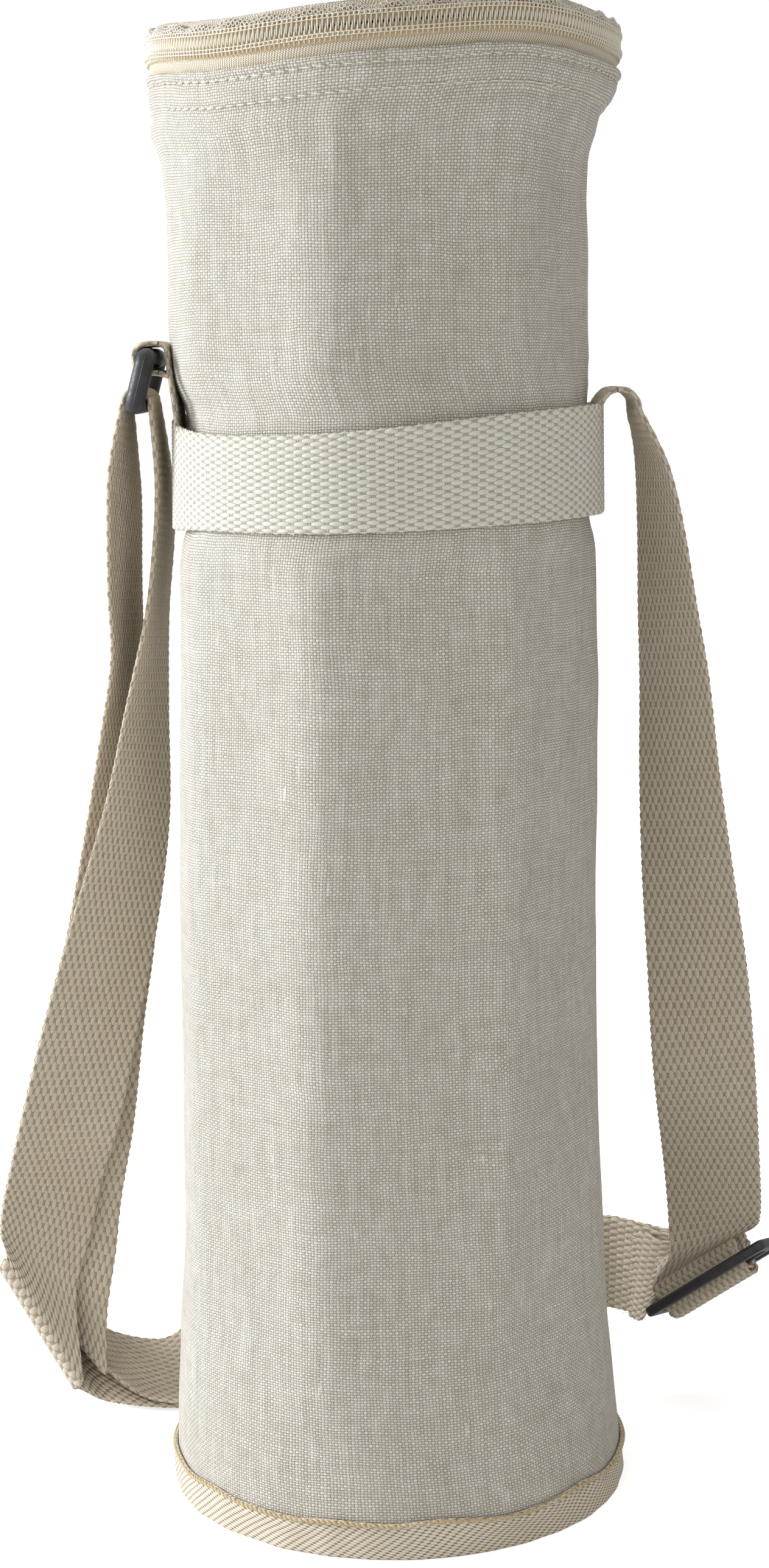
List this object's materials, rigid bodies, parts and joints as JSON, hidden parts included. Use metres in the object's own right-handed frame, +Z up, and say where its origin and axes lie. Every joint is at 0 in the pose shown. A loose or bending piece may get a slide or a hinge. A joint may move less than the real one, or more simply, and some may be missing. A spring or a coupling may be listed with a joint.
{
  "type": "bottle carrier",
  "caption": "Tall insulated canvas tube for one bottle, with a zipped lid, a webbing band and an adjustable webbing shoulder strap",
  "frame": {"origin": "centre of the base, on the floor", "axes": "+Z up along the tube, +X to the right in the picture (the side with the adjuster), +Y to the back (the side that the strap lies behind)"},
  "size_m": [0.202, 0.1282, 0.3394],
  "materials": {
    "canvas": "unbleached cotton canvas, plain weave",
    "webbing": "natural cotton webbing, barrel weave",
    "binding": "natural cotton twill tape",
    "zip_tape": "cream woven zip tape",
    "zip_coil": "cream nylon coil",
    "foam": "white closed-cell foam sheet",
    "foil": "silver insulating lining",
    "board": "stiff base board",
    "black_plastic": "moulded black plastic, lightly textured",
    "plated_metal": "nickel-plated zinc"
  },
  "bodies": {
    "bag": {"outer_canvas": "canvas", "back_seam": "canvas", "body_foam": "foam", "body_lining": "foil", "mouth_binding": "binding", "base_canvas": "canvas", "base_board": "board", "base_foam": "foam", "base_lining": "foil", "bottom_binding": "binding", "binding_fold": "binding", "zip_tape_lower": "zip_tape", "zip_coil_lower": "zip_coil", "hinge_patch_lower": "canvas", "webbing_band": "webbing", "strap_root": "webbing", "tab_root": "webbing"},
    "lid": {"lid_canvas": "canvas", "lid_foam": "foam", "lid_lining": "foil", "lid_edge": "canvas", "zip_tape_upper": "zip_tape", "zip_coil_upper": "zip_coil", "hinge_patch_upper": "canvas"},
    "slider": {"zip_slider": "plated_metal"},
    "pull": {"zip_pull": "plated_metal"},
    "strap": {"shoulder_strap": "webbing", "ring_tab": "webbing", "strap_ring": "black_plastic"},
    "glide": {"tri_glide": "black_plastic"}
  },
  "joints": [
    {"name": "lid_hinge", "type": "hinge", "parent": "bag", "child": "lid", "pos_m": [0, 0.0522, 0.3336], "axis": [-1, 0, 0], "range_deg": [0, 110]},
    {"name": "zip_slider_travel", "type": "hinge", "parent": "bag", "child": "slider", "pos_m": [0, 0, 0.3336], "axis": [0, 0, -1], "range_deg": [0, 250]},
    {"name": "zip_pull_swing", "type": "hinge", "parent": "slider", "child": "pull", "pos_m": [0.0454, 0.0318, 0.3336], "axis": [0, 0, -1], "range_deg": [0, 170]},
    {"name": "strap_swing", "type": "hinge", "parent": "bag", "child": "strap", "pos_m": [0, 0, 0.261], "axis": [1, 0, 0], "range_deg": [0, 160]},
    {"name": "glide_rock", "type": "hinge", "parent": "strap", "child": "glide", "pos_m": [0.0824, 0.044, 0.0312], "axis": [0.7602, -0.2767, 0.5878], "range_deg": [-4, 4]}
  ]
}
